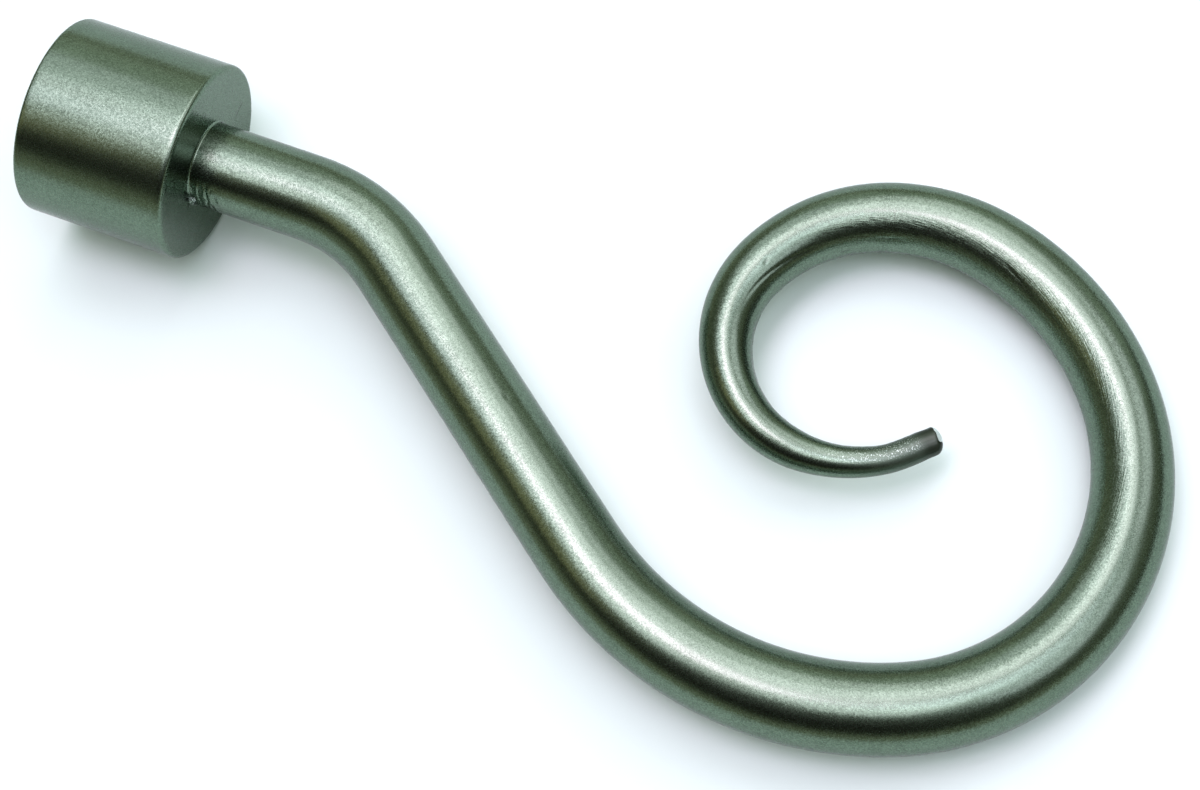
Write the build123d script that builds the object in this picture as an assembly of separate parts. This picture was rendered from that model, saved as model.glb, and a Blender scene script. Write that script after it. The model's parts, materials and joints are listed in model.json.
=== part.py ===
from build123d import *
import math
import os

# A curtain finial: a turned collar that slips over the end of a pole, with a round bar standing on its
# end wall. The bar bends down, runs straight, then rolls up into a scroll that thins towards a blunt tip.
# The finial lies as it rests: +X runs out along the pole, the scroll hangs towards -Y, and +Z is up.
# The origin is the centre of the collar's open mouth. All sizes are in millimetres and degrees.

# Collar
pole_diameter = 20.0
pole_clearance = 0.1
collar_wall = 2.4
socket_depth = 15.7
end_wall = 4.3
mouth_chamfer = 0.4
collar_edge = 0.5

# Crook: straight stem, bend, shank
bar_diameter = 10.8
stem_length = 13.9
bend_radius = 22.0
bend_angle = 37.0
shank_length = 42.0

# Scroll: tangent arcs from the shank to the tip, each with its radius, its turn and the bar where it ends
shoulder_radius = 41.5
shoulder_turn = 61.0
shoulder_bar = 10.8
belly_radius = 28.5
belly_turn = 103.0
belly_bar = 9.4
flank_radius = 33.5
flank_turn = 41.0
flank_bar = 9.0
crown_radius = 24.5
crown_turn = 30.0
crown_bar = 8.6
return_radius = 20.5
return_turn = 47.5
return_bar = 7.6
eye_radius = 14.0
eye_turn = 116.0
eye_bar = 4.7
tail_radius = 18.0
tail_turn = 49.0
tip_bar = 3.4
tip_round = 1.1

# Tenon: the bar's turned-down end, headed over inside the collar
tenon_diameter = 7.0
tenon_head_diameter = 9.0
tenon_head_depth = 1.0

# Grub screw, backed off until its tip clears the pole, and shorter than the wall is thick
screw_diameter = 3.0
screw_length = 2.0
screw_clearance = 0.05
screw_from_mouth = 8.0
screw_backed_off = 0.05
socket_across_flats = 1.5
screw_socket_depth = 1.1
cup_point_diameter = 1.5
cup_point_depth = 0.3
screw_chamfer = 0.25

bore_radius = pole_diameter / 2 + pole_clearance
collar_radius = bore_radius + collar_wall
collar_length = socket_depth + end_wall

# Each arc of the scroll: centreline radius, turn, bar diameter where it ends
SCROLL = [
    (shoulder_radius, shoulder_turn, shoulder_bar),
    (belly_radius, belly_turn, belly_bar),
    (flank_radius, flank_turn, flank_bar),
    (crown_radius, crown_turn, crown_bar),
    (return_radius, return_turn, return_bar),
    (eye_radius, eye_turn, eye_bar),
    (tail_radius, tail_turn, tip_bar),
]


def turned(points):
    """Revolve an outline, given as distance along the pole and radius, about the pole's axis."""
    outline = make_face(Polyline([(along, radius, 0) for along, radius in points], close=True))
    return revolve(outline, axis=Axis.X, revolution_arc=360)


def screw_place():
    """Where the grub screw's tip sits: on the collar's upper side in use, pointing at the pole."""
    tip = bore_radius + screw_backed_off
    return Plane(origin=(screw_from_mouth, tip, 0), x_dir=(1, 0, 0), z_dir=(0, 1, 0))


def make_collar():
    """The turned cup: open at the pole's side, with a flat end wall that takes the bar's tenon."""
    body = turned([
        (0, bore_radius + mouth_chamfer),
        (0, collar_radius - collar_edge),
        (collar_edge, collar_radius),
        (collar_length - collar_edge, collar_radius),
        (collar_length, collar_radius - collar_edge),
        (collar_length, tenon_diameter / 2),
        (socket_depth + tenon_head_depth, tenon_diameter / 2),
        (socket_depth, tenon_head_diameter / 2),
        (socket_depth, bore_radius),
        (mouth_chamfer, bore_radius),
    ])
    drill = Cylinder(screw_diameter / 2 + screw_clearance, 2 * collar_wall)
    middle_of_wall = (screw_from_mouth, bore_radius + collar_wall / 2, 0)
    return body - Plane(origin=middle_of_wall, x_dir=(1, 0, 0), z_dir=(0, 1, 0)) * drill


def direction(heading):
    """Unit vector in the crook's plane, at an angle from the pole's axis."""
    return Vector(math.cos(math.radians(heading)), math.sin(math.radians(heading)))


def tangent_arc(start, heading, radius, turn):
    """An arc that leaves a point at a heading and turns left, or right where the turn is negative."""
    side = math.copysign(90, turn)
    centre = start + direction(heading + side) * radius
    return CenterArc(centre, radius, heading - side, turn)


def section(point, heading, diameter):
    """A round section of the bar, square to its centreline."""
    return Plane(origin=point, x_dir=(0, 0, 1), z_dir=direction(heading)) * Circle(diameter / 2)


def make_straights():
    """Stem, bend and shank at the bar's full diameter, and where the shank ends."""
    start = Vector(collar_length, 0)
    stem = Line(start, start + direction(0) * stem_length)
    bend = tangent_arc(stem @ 1, 0, bend_radius, -bend_angle)
    shank = Line(bend @ 1, (bend @ 1) + direction(-bend_angle) * shank_length)
    bar = sweep(section(start, 0, bar_diameter), path=Wire([stem, bend, shank]))
    return bar, shank @ 1


def make_tip(point, heading):
    """The blunt end of the bar: a short cap with a well rounded rim."""
    radius = tip_bar / 2
    foot = Line((0, 0), (radius, 0))
    rim = CenterArc((radius - tip_round, 0), tip_round, 0, 90)
    top = Line(rim @ 1, (0, tip_round))
    axis = Line((0, tip_round), (0, 0))
    cap = revolve(Plane.XZ * make_face([foot, rim, top, axis]), axis=Axis.Z, revolution_arc=360)
    return Plane(origin=point, x_dir=(0, 0, 1), z_dir=direction(heading)) * cap


def make_scroll(start):
    """The scroll: one tapered sweep for each arc, from the shank's end to the rounded tip."""
    point = start
    heading = -bend_angle
    bar = bar_diameter
    scroll = []
    for radius, turn, bar_at_end in SCROLL:
        arc = tangent_arc(point, heading, radius, turn)
        ends = [section(point, heading, bar), section(arc @ 1, heading + turn, bar_at_end)]
        scroll.append(sweep(ends, path=arc, multisection=True))
        point = arc @ 1
        heading += turn
        bar = bar_at_end
    return scroll + [make_tip(point, heading)]


def make_crook():
    """The bar in one piece: its headed tenon, the straight and bent stretch, and the scroll."""
    tenon = turned([
        (socket_depth, 0),
        (socket_depth, tenon_head_diameter / 2),
        (socket_depth + tenon_head_depth, tenon_diameter / 2),
        (collar_length, tenon_diameter / 2),
        (collar_length, 0),
    ])
    straights, shank_end = make_straights()
    crook = tenon + straights
    for stretch in make_scroll(shank_end):
        crook += stretch
    return crook


def make_grub_screw():
    """A headless screw with a hex socket and a cup point."""
    radius = screw_diameter / 2
    outline = make_face(Polyline([
        (cup_point_diameter / 2, 0, 0),
        (0, 0, cup_point_depth),
        (0, 0, screw_length),
        (radius - screw_chamfer, 0, screw_length),
        (radius, 0, screw_length - screw_chamfer),
        (radius, 0, screw_chamfer),
        (radius - screw_chamfer, 0, 0),
    ], close=True))
    body = revolve(outline, axis=Axis.Z, revolution_arc=360)
    hexagon = RegularPolygon(socket_across_flats / 2, 6, major_radius=False)
    socket = extrude(hexagon, screw_socket_depth)
    body -= Pos(0, 0, screw_length - screw_socket_depth) * socket
    return screw_place() * body


PARTS = {
    "collar": make_collar(),
    "crook": make_crook(),
    "grub_screw": make_grub_screw(),
}

os.makedirs("parts", exist_ok=True)
for name, shape in PARTS.items():
    export_step(shape, f"parts/{name}.step")
    print(name, len(shape.solids()), round(shape.volume, 1), shape.bounding_box())
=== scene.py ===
# %% [markdown]
# # A curtain finial with a satin metallic finish
# The real thing slips over the end of a curtain pole: a short collar, and a round bar that bends down,
# runs straight and rolls up into a scroll. A tiny grub screw in the collar holds it on the pole.
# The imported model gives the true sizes. It is loaded first and never moves: each piece made below is
# placed in the same frame, in metres, so nothing has to be fitted afterwards.

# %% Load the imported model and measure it
import bmesh
import bpy
import json
import math
import numpy as np
from mathutils import Matrix, Vector, noise


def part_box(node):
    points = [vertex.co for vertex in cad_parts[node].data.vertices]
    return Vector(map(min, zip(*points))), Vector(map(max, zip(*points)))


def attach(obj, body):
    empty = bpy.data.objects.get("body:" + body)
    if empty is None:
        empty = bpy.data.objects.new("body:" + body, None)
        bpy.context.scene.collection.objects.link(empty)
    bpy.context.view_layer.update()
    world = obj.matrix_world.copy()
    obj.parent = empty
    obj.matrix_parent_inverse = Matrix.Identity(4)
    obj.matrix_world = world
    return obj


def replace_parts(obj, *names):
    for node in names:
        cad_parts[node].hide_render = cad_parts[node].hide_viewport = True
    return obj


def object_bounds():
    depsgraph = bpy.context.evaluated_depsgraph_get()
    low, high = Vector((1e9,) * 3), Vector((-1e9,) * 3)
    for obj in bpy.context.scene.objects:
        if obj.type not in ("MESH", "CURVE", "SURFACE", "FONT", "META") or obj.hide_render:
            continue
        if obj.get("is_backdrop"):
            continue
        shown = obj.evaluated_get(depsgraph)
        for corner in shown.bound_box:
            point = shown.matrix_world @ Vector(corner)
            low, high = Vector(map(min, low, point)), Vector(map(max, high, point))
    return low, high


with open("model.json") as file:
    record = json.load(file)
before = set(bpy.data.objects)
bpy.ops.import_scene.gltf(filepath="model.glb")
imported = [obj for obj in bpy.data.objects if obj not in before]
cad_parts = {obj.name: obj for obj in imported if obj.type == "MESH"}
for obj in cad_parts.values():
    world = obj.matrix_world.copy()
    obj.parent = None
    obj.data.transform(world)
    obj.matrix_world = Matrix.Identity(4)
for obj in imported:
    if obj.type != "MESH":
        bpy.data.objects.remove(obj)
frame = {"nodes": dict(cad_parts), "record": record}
cad_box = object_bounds()
for node_name in sorted(frame["nodes"]):
    low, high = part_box(node_name)
    print(node_name, "from", [round(v, 4) for v in low], "to", [round(v, 4) for v in high])

# %% [markdown]
# ## Sizes
# Most sizes are read from the frame: how long and how wide the collar is, and how thick the bar. Only the
# bar's route can't be read from a box, so its driving sizes are written down once, in millimetres.
# Each arc of the scroll has a radius, a turn and the bar's thickness where it ends.

# %% The sizes that drive the shapes
mm = 0.001

collar_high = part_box("collar")[1]
crook_low, crook_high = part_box("crook")
screw_low, screw_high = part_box("grub_screw")
pole_socket = frame["record"]["mounts"][0]

collar_length = collar_high.x
collar_radius = collar_high.z
bore_radius = pole_socket["dims"]["r_mm"] * mm
socket_depth = crook_low.x
bar_radius = crook_high.z

stem_length = 13.9 * mm
bend_radius = 22.0 * mm
bend_angle = math.radians(37.0)
shank_length = 42.0 * mm
# Each arc: its radius, its turn in degrees, and the bar's thickness where it ends
SCROLL = [
    (41.5, 61.0, 10.8),
    (28.5, 103.0, 9.4),
    (33.5, 41.0, 9.0),
    (24.5, 30.0, 8.6),
    (20.5, 47.5, 7.6),
    (14.0, 116.0, 4.7),
    (18.0, 49.0, 3.4),
]
print("collar", round(collar_length, 4), "long,", round(collar_radius, 4), "in radius, bore", bore_radius)

# %% [markdown]
# ## The bar's route
# A bar is a tube around a line, so the line comes first. It could be a Bezier curve drawn by eye,
# but then no size of it would be known. Here it is walked: each stretch has a length and a curvature, and
# adding up the curvature gives the heading, and adding up the heading gives the place.
# The curvature is averaged over a few millimetres where one arc meets the next, because a sudden change
# of curvature shows as a kink in the reflections of a shiny bar, and the real bar has none.

# %% Walk the bar's route
route_step = 0.1 * mm
curve_blend = 3.0 * mm


def stretches():
    """Each stretch from the collar to the tip: its length, its curvature and the bar's radius at its end."""
    yield stem_length, 0.0, bar_radius
    yield bend_radius * bend_angle, -1 / bend_radius, bar_radius
    yield shank_length, 0.0, bar_radius
    for radius, turn, thickness in SCROLL:
        yield radius * mm * math.radians(turn), 1 / (radius * mm), thickness * mm / 2


def averaged(values, width):
    """A running average over a width of so many steps, with the two ends held."""
    padded = np.concatenate([np.full(width, values[0]), values, np.full(width, values[-1])])
    kernel = np.ones(width) / width
    return np.convolve(padded, kernel, mode="same")[width:-width]


def walk_route():
    """Distance, place, heading and bar radius at each small step from the collar to the tip."""
    curvature, radius, before = [], [], bar_radius
    for length, bend, radius_at_end in stretches():
        steps = round(length / route_step)
        curvature += [bend] * steps
        radius += list(np.linspace(before, radius_at_end, steps, endpoint=False))
        before = radius_at_end
    blend = round(curve_blend / route_step)
    curvature = averaged(np.array(curvature), blend)
    radius = averaged(np.array(radius), blend)
    heading = np.concatenate([[0], np.cumsum(curvature) * route_step])
    middle = (heading[1:] + heading[:-1]) / 2
    x = collar_length + np.concatenate([[0], np.cumsum(np.cos(middle)) * route_step])
    y = np.concatenate([[0], np.cumsum(np.sin(middle)) * route_step])
    along = np.arange(len(heading)) * route_step
    return along, x, y, heading, np.append(radius, radius[-1])


ROUTE = walk_route()
bar_length = ROUTE[0][-1]
print("bar", round(bar_length, 4), "long, tip at", round(ROUTE[1][-1], 4), round(ROUTE[2][-1], 4))

# %% [markdown]
# ## The bar's skin
# A curve with a round bevel would give a perfect tube. The real bar looks cast and sprayed, so its surface
# wavers a little, and a satin finish shows each waver as a wobble in the edge of a reflection.
# So the tube is made as a grid of points, rings along the bar by points round it, and each point is then
# set in by a small amount. The waver only ever goes inwards, so the bar stays inside its true size.
# The points lie closer together on top, where marks show, than underneath, and the rings do so where the
# bar is marked most. That puts the detail where it is seen and keeps the mesh light.

# %% Points on the bar
points_round = 104
crowd_on_top = 0.35
# Where each spacing of the rings starts, and the spacing, in millimetres
RING_SPACING = [(0, 0.11), (5, 0.4), (160, 0.2), (226, 0.36), (262, 0.13)]


def bar_at(along):
    """Place, heading and radius of the bar at distances from the collar's end wall."""
    return [np.interp(along, ROUTE[0], ROUTE[i]) for i in (1, 2, 3, 4)]


def skin_points(along, angle, set_in=0.0):
    """Points on the bar's skin. The angle is 0 on top and a quarter turn on the left of the heading."""
    x, y, heading, radius = bar_at(along)
    reach = (radius - set_in) * np.sin(angle)
    return np.stack([
        x - reach * np.sin(heading),
        y + reach * np.cos(heading),
        (radius - set_in) * np.cos(angle),
    ], axis=-1)


# %% [markdown]
# ## What the mould and the hand left on it
# Besides the waver, the mould's joint shows along the scroll's inner side as a low rough ridge, with fine
# oblique streaks beside it where it was dressed by hand. At the root the lacquer drew wrinkles round a bead.
# Each is a function from a place on the bar to a depth, so they can simply be added up.

# %% Waver, ripples and the mould's parting line
always_in = 0.04 * mm
broad_waver, broad_waver_length = 0.05 * mm, 11 * mm
fine_waver, fine_waver_length = 0.012 * mm, 2.6 * mm
parting_width = math.radians(5)
parting_height = 0.12 * mm
parting_grain = 0.8 * mm
parting_rises = 150 * mm, 175 * mm
# Where the dressing of the joint fades in and out, round the bar and along it
dressed_round = (math.radians(6), math.radians(20)), (math.radians(55), math.radians(80))
dressed_along = (132 * mm, 152 * mm), (205 * mm, 216 * mm)
ripple_depth = 0.04 * mm
ripple_length, ripple_slant_length = 2.2 * mm, 3.0 * mm
ripples_round = 3.0
ripple_size = 0.35
ripple_patch = 7 * mm
wrinkle_depth = 0.09 * mm
wrinkle_along, wrinkle_angle = 1.8 * mm, math.radians(-72)
wrinkle_fades = 0.9 * mm, 3.2 * mm
wrinkle_bend, wrinkle_bend_length = 0.5 * mm, 0.9 * mm
wrinkle_size = 0.5 * mm


def noise_at(points, length, seed):
    """Smooth noise from 0 to 1 at each point, with hills about so long."""
    shift = Vector((seed * 17.3, seed * 5.1, seed * 9.7))
    flat = points.reshape(-1, 3) / length
    values = np.array([noise.noise(Vector(p) + shift) for p in flat])
    return (values.reshape(points.shape[:-1]) + 1) / 2


def smooth_step(value, low, high):
    """0 below low, 1 above high, and a smooth rise between."""
    t = np.clip((value - low) / (high - low), 0, 1)
    return t * t * (3 - 2 * t)


def plateau(value, rise, fall):
    """1 between two limits and 0 beyond them. Each limit is a pair, from and to, with a smooth change."""
    return smooth_step(value, *rise) * (1 - smooth_step(value, *fall))


def waver(points):
    """How far the cast surface lies inside its true size."""
    broad = noise_at(points, broad_waver_length, 1)
    fine = noise_at(points, fine_waver_length, 2)
    return always_in + broad_waver * broad + fine_waver * fine


def dressed_share(along, angle):
    """1 where the mould's joint was dressed by hand, on the scroll's inner side, and 0 elsewhere."""
    return plateau(angle, *dressed_round) * plateau(along, *dressed_along)


def ripples(along, angle, points):
    """Oblique streaks where the mould's joint was dressed by hand."""
    slanted = [along / ripple_length, angle * ripples_round + along / ripple_slant_length, along * 0]
    streaks = noise_at(np.stack(slanted, axis=-1), ripple_size, 3)
    patchy = smooth_step(noise_at(points, ripple_patch, 4), 0.35, 0.7)
    return ripple_depth * streaks * dressed_share(along, angle) * (0.4 + 0.6 * patchy)


def root_wrinkles(along, angle):
    """Short wrinkles that the lacquer drew as it dried round the bead at the root."""
    from_bead = np.hypot(along - wrinkle_along, (angle - wrinkle_angle) * bar_radius)
    near = 1 - smooth_step(from_bead, *wrinkle_fades)
    bent = angle * bar_radius * 0.6 + wrinkle_bend * np.sin(along / wrinkle_bend_length)
    folded = np.stack([along * 1.4 + bent * 0.5, bent, along * 0], axis=-1)
    return wrinkle_depth * near * smooth_step(noise_at(folded, wrinkle_size, 8), 0.35, 0.75)


def parting_line(along, angle, points):
    """The dressed ridge of the mould's joint, along the middle of the scroll's inner side."""
    near = np.exp(-(((angle - math.pi / 2) / parting_width) ** 2))
    rough = noise_at(points, parting_grain, 5)
    inner_turn = smooth_step(along, *parting_rises)
    return parting_height * near * (0.25 + 1.2 * (rough - 0.35)) * (0.25 + 0.75 * inner_turn)


print("the waver sets the skin in by", round(always_in / mm, 3), "mm at least")

# %% [markdown]
# ## Small marks
# Handling left a few dents and scored lines on the bar. A bump texture would go flat in a close view and at
# the outline, so each mark is pressed into the mesh itself, at its own place.

# %% Nicks, pits and lines
# Each mark: distance from the collar, angle from the top, length, width, depth, and how far it slants.
# The finish is darkened where a mark is deep: painted shade in the crevice, which sees little light.
MARKS = [
    (19.5, 20.0, 0.5, 1.5, 0.018, 20.0),
    (23.3, 11.0, 0.5, 1.7, 0.018, 25.0),
    (27.3, 9.0, 0.5, 1.4, 0.015, 15.0),
    (51.5, 26.0, 0.8, 0.5, 0.05, 0.0),
    (80.6, 54.0, 0.9, 0.5, 0.06, 10.0),
    (170.6, 73.0, 0.8, 0.6, 0.09, 0.0),
    (178.1, 42.5, 6.0, 0.32, 0.06, 1.0),
    (184.0, 35.5, 6.2, 0.32, 0.06, -10.0),
    (202.0, 56.5, 4.4, 0.30, 0.08, 3.0),
    (201.4, 61.5, 3.6, 0.30, 0.06, 3.0),
    (203.2, 93.0, 2.0, 0.34, 0.08, 0.0),
    (208.5, 78.0, 1.8, 0.34, 0.08, 0.0),
    (218.6, 36.0, 12.5, 0.36, 0.06, -6.0),
    (219.0, 14.0, 1.0, 0.45, 0.06, 15.0),
]


def marks(along, angle, radius):
    """Small dents and scored lines, each placed by hand."""
    depth = np.zeros_like(along)
    for place, degrees, length, width, deep, slant in MARKS:
        lean = math.radians(slant)
        ahead = along - place * mm
        # Small dents and scored lines, each at its own listed place.
        aside = (angle - math.radians(degrees)) * radius
        lengthways = (ahead * math.cos(lean) + aside * math.sin(lean)) / (length * mm / 2)
        crossways = (aside * math.cos(lean) - ahead * math.sin(lean)) / (width * mm / 2)
        depth += deep * mm * np.exp(-(lengthways ** 4 + crossways ** 2))
    return depth


print(len(MARKS), "marks")

# %% [markdown]
# ## The blunt tip
# The scroll ends where the casting was broken from its feeder and filed round: a short dome, cut a little
# askew, with the lacquer chipped off its far end and pale bare metal showing there. The bar is filed
# thinner just before it.
# The same grid makes it. More rings go on past the end of the route, each smaller than the last by a
# quarter circle. Then the end is slanted, and the last rings are roughened by noise.

# %% Rings of the tip
tip_round = 1.1 * mm
dome_rings = 18
dome_fullness = 1.05
# The last ring stops just short of the middle, so that the face that closes it has some size
dome_reach = 0.99
cut_lean = math.radians(12)
cut_reach = 2.4 * mm
neck_depth = 0.25 * mm
neck_along = (244 * mm, 252 * mm), (255.8 * mm, 261 * mm)
tail_lean = 0.13 * mm
lean_along = (256.5 * mm, 260.8 * mm), (261.6 * mm, bar_length)


def ring_places():
    """Distances of the rings, each stretch at its own spacing."""
    starts = [start * mm for start, spacing in RING_SPACING] + [bar_length]
    places = []
    for (start, spacing), stop in zip(RING_SPACING, starts[1:]):
        count = math.ceil((stop - start * mm) / (spacing * mm))
        places += list(np.linspace(start * mm, stop, count, endpoint=False))
    return np.array(places + [bar_length])


def dome_profile():
    """Past the end of the route: how far along each ring lies, and its share of the tip's radius."""
    quarter = np.linspace(0, math.pi / 2, dome_rings + 1)[1:]
    return tip_round * np.sin(quarter) ** dome_fullness, np.cos(quarter * dome_reach) ** dome_fullness


def filed_neck(along, angle):
    """How far the bar was filed in just before its tip, most of all on the scroll's inner side."""
    return neck_depth * plateau(along, *neck_along) * (0.7 + 0.3 * np.sin(angle))


def leaning_tail(along, angle):
    """How far the bar leans to the scroll's inner side between the filed neck and the tip."""
    return tail_lean * plateau(along, *lean_along) * np.sin(angle)


def tip_frame():
    """The middle of the bar's end, the way the bar points there, and the way to its left."""
    x, y, heading, _ = bar_at(bar_length)
    forward = np.array([math.cos(heading), math.sin(heading), 0])
    left = np.array([-math.sin(heading), math.cos(heading), 0])
    return np.array([x, y, 0]), forward, left


def cut_askew(points, along):
    """Slant the bar's end, so that the scroll's inner side runs on a little further."""
    middle, forward, left = tip_frame()
    aside = (points - middle) @ left
    share = smooth_step(along, bar_length - cut_reach, bar_length)
    return points + forward * (math.tan(cut_lean) * aside * share)[..., None]


print(len(ring_places()), "rings, and", dome_rings, "more round the tip")

# %% The chipped end
chip_on_top, chip_at_sides = 0.30, 0.05
chip_kept = 0.6
chip_kept_angles = math.radians(10), math.radians(60)
chip_ragged, chip_ragged_length = 0.2, 0.8 * mm
chip_softness = 0.08
chip_edge_width = 0.10
break_depth, break_grain = 0.16 * mm, 0.35 * mm
lacquer_thickness = 0.05 * mm


def tip_dome(last_ring, angle):
    """The rings that close the tip, how bare of lacquer each point is, and the lacquer's broken edge."""
    middle, forward, _ = tip_frame()
    along, share = dome_profile()
    rings = middle + (last_ring - middle) * share[:, None, None] + forward * along[:, None, None]
    ragged = noise_at(rings, chip_ragged_length, 6) - 0.5
    reach = along[:, None] / tip_round + chip_ragged * ragged
    chip_start = chip_at_sides + (chip_on_top - chip_at_sides) * np.clip(np.cos(angle), 0, 1)
    chip_start += chip_kept * smooth_step(-angle, *chip_kept_angles)
    bare = smooth_step(reach, chip_start, chip_start + chip_softness)
    edge = np.exp(-(((reach - chip_start) / chip_edge_width) ** 2))
    chipped = bare * (lacquer_thickness + noise_at(rings, break_grain, 7) * break_depth)
    return rings - forward * chipped[..., None], bare, edge


print("the lacquer at the tip:", lacquer_thickness, "m thick")

# %% [markdown]
# ## The bar as one mesh
# Now the depths are added up, and the rings become one mesh. The finish has to know where the lacquer is
# worn, streaked or chipped, where glints are painted on it and where shade is painted into its marks and tip,
# and noise alone can't tell it. So each point of the mesh carries these shares as attributes, which the
# shader reads later.

# %% Where the finish is worn, and where glints and shade are painted
# Painted shade at the tip: the lacquer is darkened over its last few millimetres, so that the highlight stops
# short of the end
tip_painted_shade = 0.65
tip_shade_along = bar_length - 2.6 * mm, bar_length - 0.8 * mm
# Painted shade in the marks: how dark a deep mark is painted, and the depths over which it darkens
mark_painted_shade = 0.55
mark_depths = 0.02 * mm, 0.08 * mm
dull_along = 250 * mm, 262 * mm
# Where pale specks are painted on the worn tail as glints: round the bar and along it
specks_round = (math.radians(-30), math.radians(-5)), (math.radians(45), math.radians(72))
specks_start = 246 * mm, 255 * mm
specks_end = bar_length - 2.6 * mm, bar_length - 1.2 * mm


def glint_speck_share(along, angle):
    """1 where the tail's worn lacquer gets fine pale specks, painted glints: on top, short of the tip."""
    return plateau(angle, *specks_round) * plateau(along, specks_start, specks_end)


def finish_masks(along, angle, radius):
    """What the finish needs to know at each point: how dull, how streaked, where glints and shade are
    painted, and where on the bar it is.
    """
    # Painted shade in the marks, darker the deeper they are
    painted_shade_and_edge = mark_painted_shade * smooth_step(marks(along, angle, radius), *mark_depths)
    return {
        "dull": smooth_step(along, *dull_along),
        "glint_specks": glint_speck_share(along, angle),
        "streaked": dressed_share(along, angle),
        "painted_shade_and_edge": np.maximum(painted_shade_and_edge, tip_painted_shade * smooth_step(along, *tip_shade_along)),
        "along": along,
        "across": angle * radius,
    }


print("the tail turns dull from", dull_along[0], "m on")

# %% Add up the depths
root_flare = 0.22 * mm


def crook_grid():
    """All rings of the bar: the flared root, the skin and the closed tip. Returns points and masks."""
    even_turn = np.linspace(-math.pi, math.pi, points_round, endpoint=False)
    turn = even_turn - crowd_on_top * np.sin(even_turn)
    along, angle = np.meshgrid(ring_places(), turn, indexing="ij")
    radius = bar_at(along)[3]
    points = skin_points(along, angle)
    set_in = waver(points) + ripples(along, angle, points) + marks(along, angle, radius)
    set_in += root_wrinkles(along, angle)
    set_in -= parting_line(along, angle, points)
    set_in = np.clip(set_in, 0, None) + filed_neck(along, angle) - leaning_tail(along, angle)
    flare = np.clip(1 - along / root_flare, 0, 1)
    set_in -= root_flare * (1 - np.sqrt(np.clip(1 - flare ** 2, 0, 1)))
    points = skin_points(along, angle, set_in)
    dome, bare_dome, edge_dome = tip_dome(points[-1], angle[-1])
    masks = finish_masks(along, angle, radius)
    past_the_end = len(dome)
    for name, mask in masks.items():
        masks[name] = np.concatenate([mask, np.repeat(mask[-1:], past_the_end, axis=0)])
    masks["bare"] = np.concatenate([np.zeros(points.shape[:2]), bare_dome])
    # On the dome the lacquer's broken edge is dark, and the rest of the lacquer gets the tip's painted shade
    masks["painted_shade_and_edge"][-past_the_end:] = np.maximum(edge_dome, tip_painted_shade * (1 - bare_dome))
    return cut_askew(np.concatenate([points, dome]), masks["along"]), masks


crook_points, crook_masks = crook_grid()
print("bar skin:", crook_points.shape[0], "rings of", points_round, "points")

# %% Turn the grid into a piece
def grid_mesh(name, grid, closed_start=False):
    """A mesh from rings of points, joined all the way round, with a face that closes the end."""
    rings, around = grid.shape[:2]
    index = np.arange(rings * around).reshape(rings, around)
    nxt = np.roll(index, -1, axis=1)
    quads = np.stack([index[:-1], nxt[:-1], nxt[1:], index[1:]], axis=-1).reshape(-1, 4)
    faces = quads.tolist()
    faces.append(index[-1].tolist())
    if closed_start:
        faces.append(index[0][::-1].tolist())
    mesh = bpy.data.meshes.new(name)
    mesh.from_pydata(grid.reshape(-1, 3).tolist(), [], faces)
    mesh.update()
    return mesh


def put_in_scene(name, data):
    """A new object for a mesh, a lamp or a camera."""
    thing = bpy.data.objects.new(name, data)
    bpy.context.scene.collection.objects.link(thing)
    return thing


def add_piece(name, mesh):
    """Put a mesh in the scene as a piece of the finial that rides on its one body."""
    piece = put_in_scene(name, mesh)
    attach(piece, "root")
    return piece


def turn_faces_outward(mesh):
    """Make all normals point out, and shade the faces smooth."""
    work = bmesh.new()
    work.from_mesh(mesh)
    bmesh.ops.recalc_face_normals(work, faces=work.faces)
    for face in work.faces:
        face.smooth = True
    work.to_mesh(mesh)
    work.free()


crook_mesh = grid_mesh("crook_skin", crook_points)
turn_faces_outward(crook_mesh)
for mask_name, mask in crook_masks.items():
    attribute = crook_mesh.attributes.new(mask_name, "FLOAT", "POINT")
    attribute.data.foreach_set("value", mask.ravel().astype(np.float32))
crook_skin = add_piece("crook_skin", crook_mesh)
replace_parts(crook_skin, "crook")
print("bar skin:", len(crook_mesh.polygons), "faces")

# %% [markdown]
# ## The collar
# The collar is turned: its outline is the same all the way round. So its profile is drawn once, as
# distance along the pole and radius, and swept round the pole's axis. A bevel modifier could round the
# edges, but the three kinds of edge differ: the front edge is broad and soft under the lacquer, the rim
# is crisper, and the edges inside are only broken. Each gets its own small arc in the profile.
# Inside, the bar's end is taken to be headed over in the end wall, as is usual. It lies flush, so only a fine
# ring shows round it.

# %% The collar's profile
front_round = 0.6 * mm
rim_edge_round = 0.4 * mm
inside_round = 0.3 * mm
turned_steps = 176
front_steps = 8
outside_rows, face_rows, floor_rows, bore_rows = 40, 22, 5, 24
axis_gap = 0.3 * mm
tenon_head_radius = 4.5 * mm
seam_width, seam_depth = 0.1 * mm, 0.12 * mm


def corner(centre_x, centre_r, radius, start, end, steps=6):
    """Points of a small arc in the profile, from one angle to another, in degrees."""
    angles = np.radians(np.linspace(start, end, steps))
    return [(centre_x + radius * math.cos(a), centre_r + radius * math.sin(a)) for a in angles]


def straight(start, end, steps):
    """Points evenly spaced between two points of the profile, without the two ends."""
    shares = np.linspace(0, 1, steps + 2)[1:-1]
    return [(start[0] + (end[0] - start[0]) * t, start[1] + (end[1] - start[1]) * t) for t in shares]


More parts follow.
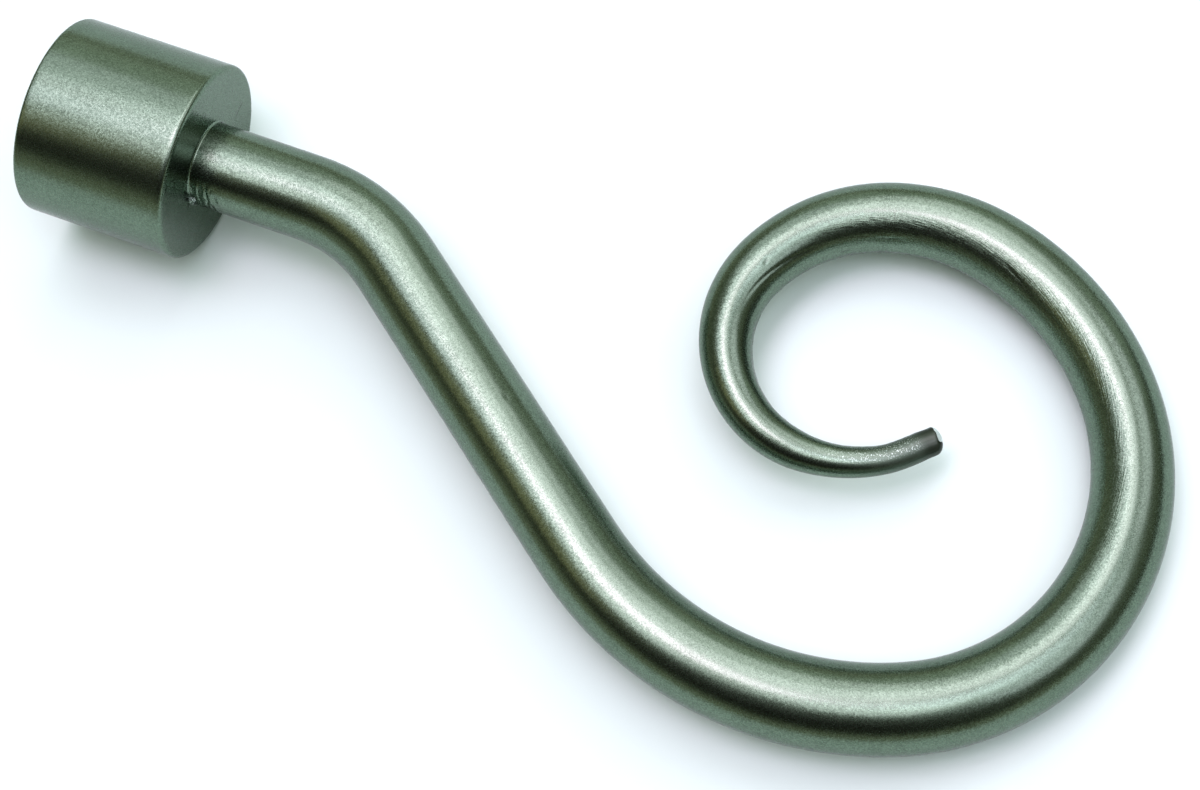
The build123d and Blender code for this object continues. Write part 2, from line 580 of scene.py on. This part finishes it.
def collar_profile():
    """The closed outline of the collar's wall, from inside the bore round to the end wall's back."""
    front = corner(collar_length - front_round, collar_radius - front_round, front_round, 90, 0, front_steps)
    rim = corner(rim_edge_round, collar_radius - rim_edge_round, rim_edge_round, 180, 90)
    mouth = corner(inside_round, bore_radius + inside_round, inside_round, 270, 180)
    outside = straight(rim[-1], front[0], outside_rows)
    face = straight(front[-1], (collar_length, 0), face_rows) + [(collar_length, axis_gap)]
    head = [(socket_depth, axis_gap), (socket_depth, tenon_head_radius - seam_width)]
    seam = [(socket_depth + seam_depth, tenon_head_radius), (socket_depth, tenon_head_radius + seam_width)]
    floor = head + seam + straight(seam[-1], (socket_depth, bore_radius), floor_rows)
    bore = straight((socket_depth, bore_radius), mouth[0], bore_rows)
    return floor + [(socket_depth, bore_radius)] + bore + mouth + rim + outside + front + face


def turned_grid(profile, steps):
    """Sweep a profile round the pole's axis."""
    turn = np.linspace(0, 2 * math.pi, steps, endpoint=False)
    rows = [[(x, r * math.cos(a), r * math.sin(a)) for a in turn] for x, r in profile]
    return np.array(rows)


print("collar profile:", len(collar_profile()), "points")

# %% Make the collar and drill it
hole_sides = 48
hole_clearance = 0.05 * mm
collar_sharp = math.radians(40)


def drilled(piece, centre, radius, depth):
    """Cut a round hole along Y through a piece, and keep the cut mesh."""
    drill_mesh = bpy.data.meshes.new("drill")
    work = bmesh.new()
    place = Matrix.Translation(centre) @ Matrix.Rotation(math.pi / 2, 4, "X")
    bmesh.ops.create_cone(
        work, cap_ends=True, segments=hole_sides, radius1=radius, radius2=radius, depth=depth, matrix=place
    )
    work.to_mesh(drill_mesh)
    work.free()
    drill = put_in_scene("drill", drill_mesh)
    cut = piece.modifiers.new("cut", "BOOLEAN")
    cut.operation, cut.object, cut.solver = "DIFFERENCE", drill, "EXACT"
    graph = bpy.context.evaluated_depsgraph_get()
    mesh = bpy.data.meshes.new_from_object(piece.evaluated_get(graph))
    piece.modifiers.clear()
    bpy.data.objects.remove(drill)
    return mesh


def make_collar():
    """The collar with its socket, its end wall and the screw's hole."""
    grid = turned_grid(collar_profile(), turned_steps)
    mesh = grid_mesh("collar_body", grid, closed_start=True)
    turn_faces_outward(mesh)
    piece = add_piece("collar_body", mesh)
    screw_middle = (screw_low + screw_high) / 2
    hole_radius = (screw_high.x - screw_low.x) / 2 + hole_clearance
    wall = collar_radius - bore_radius
    centre = Vector((screw_middle.x, bore_radius + wall / 2, 0))
    piece.data = drilled(piece, centre, hole_radius, 2 * wall)
    piece.data.name = "collar_body"
    for face in piece.data.polygons:
        face.use_smooth = True
    piece.data.set_sharp_from_angle(angle=collar_sharp)
    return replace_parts(piece, "collar")


collar_body = make_collar()
print("collar:", len(collar_body.data.polygons), "faces")

# %% [markdown]
# ## The bead at the root
# On the mould's parting line, where the bar leaves the collar, a bead of stray metal was lacquered over.
# It is one small ball of a mesh, squashed and pushed about by noise until nothing round is left of it, with
# a thin thread of lacquer that trails from it.

# %% Shapes of the bead and its thread
bead_size = 0.62 * mm
bead_squash = (0.9, 0.7, 0.95)
bead_angle = math.radians(-78)
bead_off_wall, bead_off_bar = 0.5 * mm, 0.1 * mm
bead_sunk = 0.1 * mm
# How pale the bead is painted, as bare metal and painted highlight, and how large its patches are
bead_pale_highlight, bead_highlight_length = 0.6, 0.4 * mm
whisker_start = Vector((0.35, 0, 0)) * mm
whisker_end = Vector((0.06, -6.4, -0.2)) * mm
whisker_sag = Vector((0, 0.25, -0.2)) * mm
whisker_radius, whisker_taper = 0.13 * mm, 0.8
whisker_low, whisker_wide = 0.4, 0.9
whisker_rings, whisker_sides = 9, 8


def bead_lump(work, centre):
    """A ball pushed about by noise, with its inner side pressed flat on the end wall."""
    lump = bmesh.ops.create_icosphere(work, subdivisions=4, radius=1.0)
    for vert in lump["verts"]:
        way = vert.co.normalized()
        size = 0.8 + 0.5 * noise.noise(way * 1.9) + 0.3 * noise.noise(way * 4.6)
        squashed = Vector([reach * share for reach, share in zip(way, bead_squash)])
        vert.co = centre + squashed * bead_size * size
        vert.co.x = max(vert.co.x, collar_length - bead_sunk)


def whisker_ring(work, middle, radius):
    """One flattened ring of the thread."""
    spin = [2 * math.pi * k / whisker_sides for k in range(whisker_sides)]
    ways = [Vector((math.cos(a), whisker_low * math.sin(a), whisker_wide * math.sin(a))) for a in spin]
    return [work.verts.new(middle + way * radius) for way in ways]


def bead_whisker(work, start, end):
    """A thin thread of lacquer that trails from the bead across the end wall."""
    rings = []
    for i in range(whisker_rings):
        share = i / (whisker_rings - 1)
        middle = start.lerp(end, share) + whisker_sag * math.sin(share * math.pi)
        rings.append(whisker_ring(work, middle, whisker_radius * (1 - whisker_taper * share)))
    for near, far in zip(rings, rings[1:]):
        for k in range(whisker_sides):
            after = (k + 1) % whisker_sides
            work.faces.new((near[k], near[after], far[after], far[k]))
    work.faces.new(rings[0])
    work.faces.new(rings[-1])


print("bead about", round(2 * bead_size / mm, 2), "mm across")


# %% Make the bead
def make_bead():
    """A lump that bridges the bar and the end wall, on the side that faces down in the photo."""
    work = bmesh.new()
    out, up = math.sin(bead_angle), math.cos(bead_angle)
    reach = bar_radius + bead_off_bar
    centre = Vector((collar_length + bead_off_wall, reach * out, reach * up))
    bead_lump(work, centre)
    bead_whisker(work, centre - whisker_start, Vector((collar_length, 0, 0)) + whisker_end)
    mesh = bpy.data.meshes.new("root_bead")
    work.to_mesh(mesh)
    work.free()
    turn_faces_outward(mesh)
    # Pale patches on the bead, so that it shows bright: partly bare metal, partly a painted highlight
    pale_highlight = mesh.attributes.new("bare", "FLOAT", "POINT")
    for vert in mesh.vertices:
        patch = noise.noise(vert.co / bead_highlight_length)
        pale_highlight.data[vert.index].value = bead_pale_highlight * (0.6 + 0.8 * patch)
    return add_piece("root_bead", mesh)


root_bead = make_bead()
print("bead:", len(root_bead.data.polygons), "faces")

# %% [markdown]
# ## The grub screw
# A headless screw with a hex socket. Its thread is a helix, so the grid's rings climb as they go round:
# each point's height is its ring's height plus its share of one pitch. Only the hexagon's six flats need
# care, and they come from the distance of a hexagon's edge at each angle.

# %% Shapes of the screw
thread_pitch = 0.5 * mm
thread_depth = 0.16 * mm
thread_starts, thread_stops = 0.1 * mm, 0.02 * mm
rings_per_pitch = 8
screw_points_round = 48
screw_edge = 0.3 * mm
screw_axis_gap = 0.05 * mm
screw_sharp = math.radians(35)
cup_radius, cup_depth = 0.7 * mm, 0.3 * mm
hex_across_flats = 1.5 * mm
hex_depth = 1.1 * mm
hex_drill_point = 0.2 * mm


def hexagon_reach(angle, across_flats):
    """How far a hexagon's edge lies from its middle at an angle."""
    sector = math.pi / 3
    return across_flats / 2 / np.cos((angle + sector / 2) % sector - sector / 2)


def thread_rings(turn, radius, low, high):
    """The rings of the thread, chamfered at both ends: each point's radius, and the ring's height."""
    for height in np.arange(low + thread_starts, high - thread_stops, thread_pitch / rings_per_pitch):
        phase = (height - low) / thread_pitch + turn / (2 * math.pi)
        groove = thread_depth * (0.5 + 0.5 * np.cos(2 * math.pi * phase))
        taper = max(0, screw_edge - (height - low), screw_edge - (high - height))
        yield np.minimum(radius - groove, radius - taper), height


print("thread pitch", round(thread_pitch / mm, 2), "mm, with", rings_per_pitch, "rings each")


# %% Make the screw
def screw_rings(turn, radius, low, high):
    """All rings of the screw, from the middle of its cup point to the bottom of its socket."""
    near_axis = np.full_like(turn, screw_axis_gap)
    mouth = hexagon_reach(turn, hex_across_flats)
    rings = [(near_axis, low + cup_depth), (np.full_like(turn, cup_radius), low)]
    rings += thread_rings(turn, radius, low, high)
    rings += [(np.full_like(turn, radius - screw_edge), high), (mouth, high), (mouth, high - hex_depth)]
    return rings + [(near_axis, high - hex_depth - hex_drill_point)]


def make_screw():
    """The threaded body, the chamfered ends and the socket as one skin."""
    radius = (screw_high.x - screw_low.x) / 2
    centre_x = (screw_low.x + screw_high.x) / 2
    turn = np.linspace(0, 2 * math.pi, screw_points_round, endpoint=False)
    grid = np.array([
        np.stack([centre_x + r * np.cos(turn), np.full_like(turn, y), r * np.sin(turn)], axis=-1)
        for r, y in screw_rings(turn, radius, screw_low.y, screw_high.y)
    ])
    mesh = grid_mesh("screw_threaded", grid, closed_start=True)
    turn_faces_outward(mesh)
    mesh.set_sharp_from_angle(angle=screw_sharp)
    piece = add_piece("screw_threaded", mesh)
    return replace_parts(piece, "grub_screw")


screw_threaded = make_screw()
print("screw:", len(screw_threaded.data.polygons), "faces")

# %% [markdown]
# ## The satin lacquer
# The finish is a metallic lacquer: fine flakes of metal under a thin clear film. The flakes give the
# broad soft highlight and its grain. The film gives the crisper edge where the table's reflection starts.
# So the shader is a rough metal with a coat on top. The grain comes from small cells: each reflects a
# little more or less than the next and tilts its own way, as a flake does.
# The same shader serves the bar, the collar and the bead. Where the mesh carries a share, it turns the
# lacquer dull, streaked or bare, adds pale specks as painted glints, or darkens it with painted shade and
# along the chip's broken edge;
# a piece without one has plain lacquer. The short scratch on the collar's end wall is placed by its position,
# and painted shade darkens it.

# %% Helpers for shader nodes
def new_material(name):
    """A new node material. Returns it with its nodes, its shader and the piece's coordinates."""
    material = bpy.data.materials.new(name)
    material.use_nodes = True
    tree = material.node_tree
    coordinates = tree.nodes.new("ShaderNodeTexCoord").outputs["Object"]
    return material, tree, tree.nodes["Principled BSDF"], coordinates


def add_node(tree, kind, **values):
    """Add a node and set its sockets by name, or its own settings where no socket has the name."""
    node = tree.nodes.new(kind)
    for key, value in values.items():
        socket = node.inputs.get(key.replace("_", " "))
        if socket is not None:
            socket.default_value = value
        else:
            setattr(node, key, value)
    return node


def add_noise(tree, coordinates, cell, detail):
    """A noise texture with features about so large, in metres."""
    texture = add_node(tree, "ShaderNodeTexNoise", Scale=1 / cell, Detail=detail)
    tree.links.new(coordinates, texture.inputs["Vector"])
    return texture.outputs["Fac"]


def scaled(tree, value, low, high, to_low, to_high):
    """Map a range of values to another."""
    node = tree.nodes.new("ShaderNodeMapRange")
    tree.links.new(value, node.inputs["Value"])
    for name, number in zip(("From Min", "From Max", "To Min", "To Max"), (low, high, to_low, to_high)):
        node.inputs[name].default_value = number
    return node.outputs["Result"]


def blended(tree, share, first, second):
    """A colour between two, each a colour or another node's output."""
    node = tree.nodes.new("ShaderNodeMix")
    node.data_type = "RGBA"
    tree.links.new(share, node.inputs["Factor"])
    colour_sockets = [s for s in node.inputs if s.type == "RGBA"]
    for socket, colour in zip(colour_sockets, (first, second)):
        if isinstance(colour, tuple):
            socket.default_value = (*colour, 1)
        else:
            tree.links.new(colour, socket)
    return [s for s in node.outputs if s.type == "RGBA"][0]


# %% More helpers: products, noise that fills a range, vectors
noise_low, noise_high = 0.3, 0.7


def spread_noise(tree, coordinates, cell, detail, to_low=0, to_high=1):
    """Noise stretched to fill a range, because by itself it seldom leaves its middle part."""
    fac = add_noise(tree, coordinates, cell, detail)
    return scaled(tree, fac, noise_low, noise_high, to_low, to_high)


def times(tree, first, second):
    """The product of two values."""
    node = add_node(tree, "ShaderNodeMath", operation="MULTIPLY")
    tree.links.new(first, node.inputs[0])
    tree.links.new(second, node.inputs[1])
    return node.outputs[0]


def times_plus(tree, value, factor, addend):
    """A value times a fixed number, plus another value."""
    node = add_node(tree, "ShaderNodeMath", operation="MULTIPLY_ADD")
    tree.links.new(value, node.inputs[0])
    node.inputs[1].default_value = factor
    tree.links.new(addend, node.inputs[2])
    return node.outputs[0]


def vector_math(tree, operation, first, second=None):
    """A node that works on vectors. The second one may be fixed, or another node's output."""
    node = add_node(tree, "ShaderNodeVectorMath", operation=operation)
    tree.links.new(first, node.inputs[0])
    if isinstance(second, tuple):
        node.inputs[1].default_value = second
    elif second is not None:
        tree.links.new(second, node.inputs[1])
    return node


def set_shader(tree, shader, values):
    """Link what varies over the surface to the shader, and set the rest on the shader's own sockets."""
    for name, value in values.items():
        if isinstance(value, bpy.types.NodeSocket):
            tree.links.new(value, shader.inputs[name])
        else:
            shader.inputs[name].default_value = value


def give_material(piece, material):
    """Let a piece have this one material."""
    piece.data.materials.clear()
    piece.data.materials.append(material)


# %% The lacquer's colours and scales
flake_cell = 0.14 * mm
flake_tilt = 0.045
flake_grain = 0.62
cloud_size = 6 * mm
lacquer_light = (0.094, 0.139, 0.097)
lacquer_deep = (0.074, 0.111, 0.076)
lacquer_flake = (0.190, 0.265, 0.194)
bare_colour = (0.52, 0.66, 0.60)
bare_metallic = 0.25
lacquer_worn = (0.086, 0.120, 0.090)
# The dark colour of painted shade in the marks, at the tip and along the scratch, and of the chip's broken
# edge
painted_shade_and_edge_colour = (0.022, 0.028, 0.018)
# Pale specks on the worn tail: painted glints where the lacquer is worn
speck_size = 0.15 * mm
speck_from, speck_to = 0.58, 0.66
worn_glint_speck = (0.42, 0.53, 0.45)
rough_cell = 0.2 * mm
rough_low, rough_high = 0.25, 0.30
worn_roughness = 0.26
LACQUER_FILM = {
    "Specular Tint": (0.60, 0.60, 0.60, 1),
    "Coat Weight": 0.3,
    "Coat Roughness": 0.14,
    "Coat IOR": 1.5,
}
streak_length = 2.2 * mm
streak_width = 0.17 * mm
streak_slant = 0.12
streak_depth = 0.03 * mm
scratch_height = -2.2 * mm
scratch_from, scratch_to = 6.8 * mm, 9.7 * mm
scratch_half_width = 0.24 * mm
scratch_depth = 0.1 * mm
# How dark the scratch is painted: painted shade along its groove
scratch_painted_shade = 0.6
scratch_fade = 0.4 * mm
# The scratch is only on the end wall: it begins just under the wall's surface
wall_skin = 0.2 * mm, 0.1 * mm
print("flakes", flake_cell, "m across, clouds", cloud_size, "m")


# %% Streaks, the scratch and the flakes
def mask_of(tree, name):
    """A mask that was stored on the mesh. It is 0 on a piece that has none."""
    return add_node(tree, "ShaderNodeAttribute", attribute_name=name).outputs["Fac"]


def bumped(tree, height, distance, strength=None, normal=None):
    """The normal of a surface that is raised by a height."""
    node = add_node(tree, "ShaderNodeBump", Distance=distance)
    tree.links.new(height, node.inputs["Height"])
    if strength is not None:
        tree.links.new(strength, node.inputs["Strength"])
    if normal is not None:
        tree.links.new(normal, node.inputs["Normal"])
    return node.outputs["Normal"]


def streaked_normal(tree):
    """Fine streaks left by dressing the joint: noise that is stretched along the bar."""
    along = scaled(tree, mask_of(tree, "along"), 0, 1, 0, 1 / streak_length)
    across = scaled(tree, mask_of(tree, "across"), -1, 1, -1 / streak_width, 1 / streak_width)
    slant = times_plus(tree, along, streak_slant * streak_length / streak_width, across)
    place = tree.nodes.new("ShaderNodeCombineXYZ")
    tree.links.new(along, place.inputs["X"])
    tree.links.new(slant, place.inputs["Y"])
    height = add_noise(tree, place.outputs[0], 1.0, 3)
    return bumped(tree, height, streak_depth, mask_of(tree, "streaked"))


def scratch(tree, coordinates):
    """The short scratch on the collar's end wall: 1 along its middle, and 0 beside it."""
    parts = tree.nodes.new("ShaderNodeSeparateXYZ")
    tree.links.new(coordinates, parts.inputs["Vector"])
    x, y, z = (parts.outputs[name] for name in "XYZ")
    middle, width = scratch_height, scratch_half_width
    above = scaled(tree, z, middle, middle + width, 1, 0)
    below = scaled(tree, z, middle - width, middle, 0, 1)
    starts = scaled(tree, y, scratch_from, scratch_from + scratch_fade, 0, 1)
    ends = scaled(tree, y, scratch_to - scratch_fade, scratch_to, 1, 0)
    on_wall = scaled(tree, x, collar_length - wall_skin[0], collar_length - wall_skin[1], 0, 1)
    return times(tree, times(tree, times(tree, above, below), times(tree, starts, ends)), on_wall)


def flake_normal(tree, coordinates, surface):
    """The surface's normal, tilted a little by each flake."""
    cells = add_node(tree, "ShaderNodeTexVoronoi", Scale=1 / flake_cell)
    tree.links.new(coordinates, cells.inputs["Vector"])
    centred = vector_math(tree, "SUBTRACT", cells.outputs["Color"], (0.5, 0.5, 0.5))
    tilt = vector_math(tree, "SCALE", centred.outputs[0])
    tilt.inputs["Scale"].default_value = flake_tilt
    total = vector_math(tree, "ADD", surface, tilt.outputs[0])
    level = vector_math(tree, "NORMALIZE", total.outputs[0])
    return level.outputs[0], cells.outputs["Color"]


# %% Put the lacquer together
def lacquer_colour(tree, coordinates, flake_colour, groove):
    """Cloudy lacquer with flakes in it, then wear, painted glints, painted shade and bare metal, each laid
    over the last.
    """
    flakes = add_node(tree, "ShaderNodeSeparateColor")
    tree.links.new(flake_colour, flakes.inputs["Color"])
    specks = scaled(tree, add_noise(tree, coordinates, speck_size, 2), speck_from, speck_to, 0, 1)
    colour = blended(tree, spread_noise(tree, coordinates, cloud_size, 4), lacquer_deep, lacquer_light)
    for share, over in (
        (scaled(tree, flakes.outputs["Red"], 0, 1, 0, flake_grain), lacquer_flake),
        (mask_of(tree, "dull"), lacquer_worn),
        # Pale specks on the worn tail, painted glints
        (times(tree, specks, mask_of(tree, "glint_specks")), worn_glint_speck),
        # Painted shade in the marks and at the tip, and the dark broken edge of the chip
        (mask_of(tree, "painted_shade_and_edge"), painted_shade_and_edge_colour),
        # Painted shade along the scratch on the end wall
        (scaled(tree, groove, 0, 1, 0, scratch_painted_shade), painted_shade_and_edge_colour),
        (mask_of(tree, "bare"), bare_colour),
    ):
        colour = blended(tree, share, colour, over)
    return colour


def satin_lacquer():
    """Rough metal flakes under a smooth clear film, with bare metal where the mesh says so."""
    material, tree, shader, coordinates = new_material("satin_lacquer")
    groove = scratch(tree, coordinates)
    pressed_in = scaled(tree, groove, 0, 1, 1, 0)
    surface = bumped(tree, pressed_in, scratch_depth, normal=streaked_normal(tree))
    normal, flake_colour = flake_normal(tree, coordinates, surface)
    uneven = spread_noise(tree, coordinates, rough_cell, 2, rough_low, rough_high)
    set_shader(tree, shader, {
        "Base Color": lacquer_colour(tree, coordinates, flake_colour, groove),
        "Normal": normal,
        "Roughness": times_plus(tree, mask_of(tree, "dull"), worn_roughness, uneven),
        "Metallic": scaled(tree, mask_of(tree, "bare"), 0, 1, 1, bare_metallic),
    })
    set_shader(tree, shader, LACQUER_FILM)
    return material


lacquer = satin_lacquer()
for piece in (crook_skin, collar_body, root_bead):
    give_material(piece, lacquer)
print("lacquer on three pieces:", len(lacquer.node_tree.nodes), "nodes")

# %% [markdown]
# ## The screw's finish
# The photo doesn't show the screw. Such screws are usually blackened: a thin dark oxide, rubbed lighter in
# patches. Noise chooses the patches, and they are smoother as well as lighter.

# %% The screw's blackened steel
oxide, rubbed_oxide = (0.03, 0.03, 0.035), (0.16, 0.16, 0.17)
oxide_rough, rubbed_rough = 0.5, 0.32
patch_size = 0.6 * mm
patch_from, patch_to = 0.45, 0.7


def blackened_steel():
    """Dark oxide with rubbed lighter patches."""
    material, tree, shader, coordinates = new_material("blackened_steel")
    patches = scaled(tree, add_noise(tree, coordinates, patch_size, 4), patch_from, patch_to, 0, 1)
    colour = blended(tree, patches, oxide, rubbed_oxide)
    rough = scaled(tree, patches, 0, 1, oxide_rough, rubbed_rough)
    set_shader(tree, shader, {"Base Color": colour, "Roughness": rough, "Metallic": 1.0})
    return material


give_material(screw_threaded, blackened_steel())
print("blackened steel on the screw, patches", patch_size, "m across")

# %% [markdown]
# ## The table
# The finial lies on its side: it rests on the collar's rim and on the underside of the scroll, so the
# table is a few degrees out of level with the pole's axis. The plane is found, not guessed: it is the
# face of the finial's convex hull that lies under the middle of its points.
# The panels barely reach the table's far parts, so it glows faintly there and stays pale up to its edge.

# %% Find the plane the finial rests on
facing_down = -0.5


def resting_plane():
    """A point and the upward normal of the hull's face under the finial's middle."""
    work = bmesh.new()
    middle, count = Vector(), 0
    for node in frame["nodes"].values():
        for vert in node.data.vertices:
            work.verts.new(vert.co)
            middle += vert.co
            count += 1
    middle /= count
    hull = bmesh.ops.convex_hull(work, input=work.verts)
    best = None
    for face in (f for f in hull["geom"] if isinstance(f, bmesh.types.BMFace)):
        face.normal_update()
        if face.normal.z > facing_down:
            continue
        corners = [v.co.xy for v in face.verts]
        sides = [
            (corners[i - 1] - middle.xy).cross(corners[i] - middle.xy) for i in range(len(corners))
        ]
        if all(s >= 0 for s in sides) or all(s <= 0 for s in sides):
            best = (face.verts[0].co.copy(), -face.normal.copy())
    work.free()
    return best


table_point, table_up = resting_plane()
print("table leans", round(math.degrees(table_up.angle(Vector((0, 0, 1)))), 2), "degrees")

# %% Make the table
table_half = 1.6
table_middle = Vector((0.07, -0.01, 0))
hair = 0.02 * mm
mottle_size = 30 * mm
table_deep, table_light = (0.67, 0.83, 0.755), (0.69, 0.85, 0.775)
glow_from, glow_to = 0.3, 1.0
pale = (0.95, 0.98, 0.97)


def keep_pale(tree, coordinates, shader):
    """Lift the far parts of the sheet, which the panels barely reach, so that it looks pale all over."""
    distance = vector_math(tree, "LENGTH", coordinates).outputs["Value"]
    glow = scaled(tree, distance, glow_from, glow_to, 0, 1)
    set_shader(tree, shader, {"Emission Strength": glow, "Emission Color": (*pale, 1)})


def make_table():
    """A large pale sheet just under the finial, faintly mottled."""
    mesh = bpy.data.meshes.new("table")
    work = bmesh.new()
    bmesh.ops.create_grid(work, x_segments=8, y_segments=8, size=table_half)
    work.to_mesh(mesh)
    work.free()
    table = put_in_scene("table", mesh)
    table.rotation_mode = "QUATERNION"
    table.rotation_quaternion = table_up.to_track_quat("Z", "Y")
    drop = (table_middle - table_point).dot(table_up)
    table.location = table_middle - table_up * (drop + hair)
    material, tree, shader, coordinates = new_material("pale_table")
    mottled = spread_noise(tree, coordinates, mottle_size, 3)
    colour = blended(tree, mottled, table_deep, table_light)
    set_shader(tree, shader, {"Base Color": colour, "Roughness": 0.9, "Specular IOR Level": 0.1})
    keep_pale(tree, coordinates, shader)
    mesh.materials.append(material)
    table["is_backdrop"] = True
    return table


table = make_table()
print("table", 2 * table_half, "m across, glowing from", glow_from, "m out")

# %% [markdown]
# ## Light
# The reflections on the bar tell how the real one was lit: by one bright soft window almost straight above,
# with a wide glow round it that reaches further on the far side, and darkness from there to the table.
# One big lamp would give a flat highlight with hard ends. So the window is made of round soft panels side
# by side, bright in the middle and dimmer outwards. Each is placed by its direction from the finial.

# %% Set up the soft panels
lamp_target = Vector((0.075, -0.008, 0.0))
panel_distance = 1.0
# Each panel: how far it leans from straight above to +X and to +Y, half its width as seen from the finial,
# all in degrees, then its radiance and its tint.
PANELS = {
    "window_middle": (-9.8, 0.0, 10, 8.4, (1.38, 1.0, 1.36)),
    "window_left": (-27.8, -1.3, 9, 3.4, (1.05, 1.0, 1.22)),
    "window_right": (12.6, 1.8, 10, 4.0, (1.04, 1.0, 1.24)),
    "window_near": (-17.9, -17.9, 9, 4.3, (1.08, 1.0, 1.15)),
    "window_near_right": (9.0, -13.5, 10, 3.6, (1.08, 1.0, 1.15)),
    "window_far": (-6.0, 20.8, 12, 4.1, (1.15, 1.0, 1.20)),
    "window_far_left": (-22.3, 15.7, 9, 3.3, (1.08, 1.0, 1.20)),
    "glow_right": (36.0, -4.0, 15, 2.1, (1.05, 1.0, 1.20)),
    "glow_far_right": (29.7, 32.0, 14, 2.1, (1.10, 1.0, 1.20)),
    "glow_far": (-3.7, 44.1, 15, 2.4, (1.09, 1.0, 1.14)),
    "glow_left": (-36.0, 36.0, 14, 1.5, (1.02, 1.0, 1.16)),
    "glow_near": (-41.0, -31.0, 12, 0.5, (1.20, 1.0, 0.50)),
    "glow_low": (0.0, 66.7, 12, 0.6, (0.90, 1.0, 0.92)),
    "glow_low_left": (-47.0, 64.0, 12, 0.6, (0.90, 1.0, 0.92)),
    "glow_low_right": (47.0, 62.0, 12, 0.5, (0.90, 1.0, 0.92)),
}


def soft_panel(name, lean_x, lean_y, half_angle, radiance, colour):
    """A round panel that faces the finial."""
    way = Vector((math.tan(math.radians(lean_x)), math.tan(math.radians(lean_y)), 1)).normalized()
    diameter = 2 * panel_distance * math.tan(math.radians(half_angle))
    light = bpy.data.lights.new(name, "AREA")
    light.shape = "DISK"
    light.size = diameter
    light.energy = radiance * math.pi * math.pi * diameter ** 2 / 4
    light.color = colour
    lamp = put_in_scene(name, light)
    lamp.location = lamp_target + way * panel_distance
    lamp.rotation_mode = "QUATERNION"
    lamp.rotation_quaternion = way.to_track_quat("Z", "Y")


for panel_name, panel in PANELS.items():
    soft_panel(panel_name, *panel)
print(len(PANELS), "soft panels,", panel_distance, "m from the finial")

# %% [markdown]
# ## The room in the reflections
# A shiny bar mirrors the whole room: dark towards the viewer, a little lighter on the far side, and pale
# low down, where the real one mirrors its table. One grey for the room would flatten the dark bands along
# the bar. So the world's colour changes with the direction. The camera itself sees only a pale backdrop.

# %% The surroundings
room_near_side = (0.006, 0.003, 0.0)
room_far_side = (0.22, 0.24, 0.15)
room_low = (0.42, 0.42, 0.29)
room_low_right = (0.03, 0.03, 0.02)
right_way = (0.87, 0.5, 0.0)
near_ends, far_starts = -0.75, 0.2
right_from, right_to = 0.65, 0.9
low_from, low_to = 0.14, 0.36


def make_surroundings():
    """Dark surroundings for the reflections, and a pale backdrop where the camera looks past the table."""
    world = bpy.data.worlds.new("surroundings")
    bpy.context.scene.world = world
    world.use_nodes = True
    tree = world.node_tree
    way = tree.nodes.new("ShaderNodeTexCoord").outputs["Generated"]
    parts = tree.nodes.new("ShaderNodeSeparateXYZ")
    tree.links.new(way, parts.inputs["Vector"])
    towards_far = scaled(tree, parts.outputs["Y"], near_ends, far_starts, 0, 1)
    dim = blended(tree, towards_far, room_near_side, room_far_side)
    towards_right = vector_math(tree, "DOT_PRODUCT", way, right_way).outputs["Value"]
    to_right = scaled(tree, towards_right, right_from, right_to, 0, 1)
    low_down = scaled(tree, parts.outputs["Z"], low_from, low_to, 1, 0)
    dim = blended(tree, low_down, dim, blended(tree, to_right, room_low, room_low_right))
    seen = tree.nodes.new("ShaderNodeLightPath").outputs["Is Camera Ray"]
    colour = blended(tree, seen, dim, pale)
    tree.links.new(colour, tree.nodes["Background"].inputs["Color"])


make_surroundings()
print("surroundings:", len(bpy.context.scene.world.node_tree.nodes), "nodes")

# %% [markdown]
# ## Camera
# The camera looks down on the lying finial. Its place and its three directions were worked out from the
# photo's perspective, with the finial's true sizes. The directions are written as they look in the
# picture: right, down, and away from the viewer.

# %% Set up the camera
camera_place = Vector((0.12609, -0.07643, 0.27297))
picture_right = Vector((0.9306, 0.3563, -0.0839))
picture_down = Vector((0.3222, -0.9062, -0.2738))
away = Vector((-0.1736, 0.2277, -0.9581))
camera_lens = 72

camera_data = bpy.data.cameras.new("photo_view")
camera_data.lens = camera_lens
camera_data.sensor_width = 36
camera_data.sensor_fit = "HORIZONTAL"
camera_data.clip_start = 0.01
camera_data.clip_end = 10
camera = put_in_scene("photo_view", camera_data)
turn = Matrix((picture_right, -picture_down, -away)).transposed().to_4x4()
camera.matrix_world = Matrix.Translation(camera_place) @ turn
bpy.context.scene.camera = camera
bpy.context.scene.view_settings.view_transform = "Standard"
print("camera", round((camera_place - lamp_target).length, 3), "m from the finial's middle")

# %% [markdown]
# ## Compare the sizes and finish
# The dressed model must fill the imported model's box and not outgrow it, so how far its high corner lies
# beyond the imported one is printed.

# %% Print how far the high corner outgrows the imported box, and finish
dressed_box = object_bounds()
growth = [round((b - a) / mm, 3) for a, b in zip(cad_box[1], dressed_box[1])]
print("high corner beyond the packed box, mm:", growth)
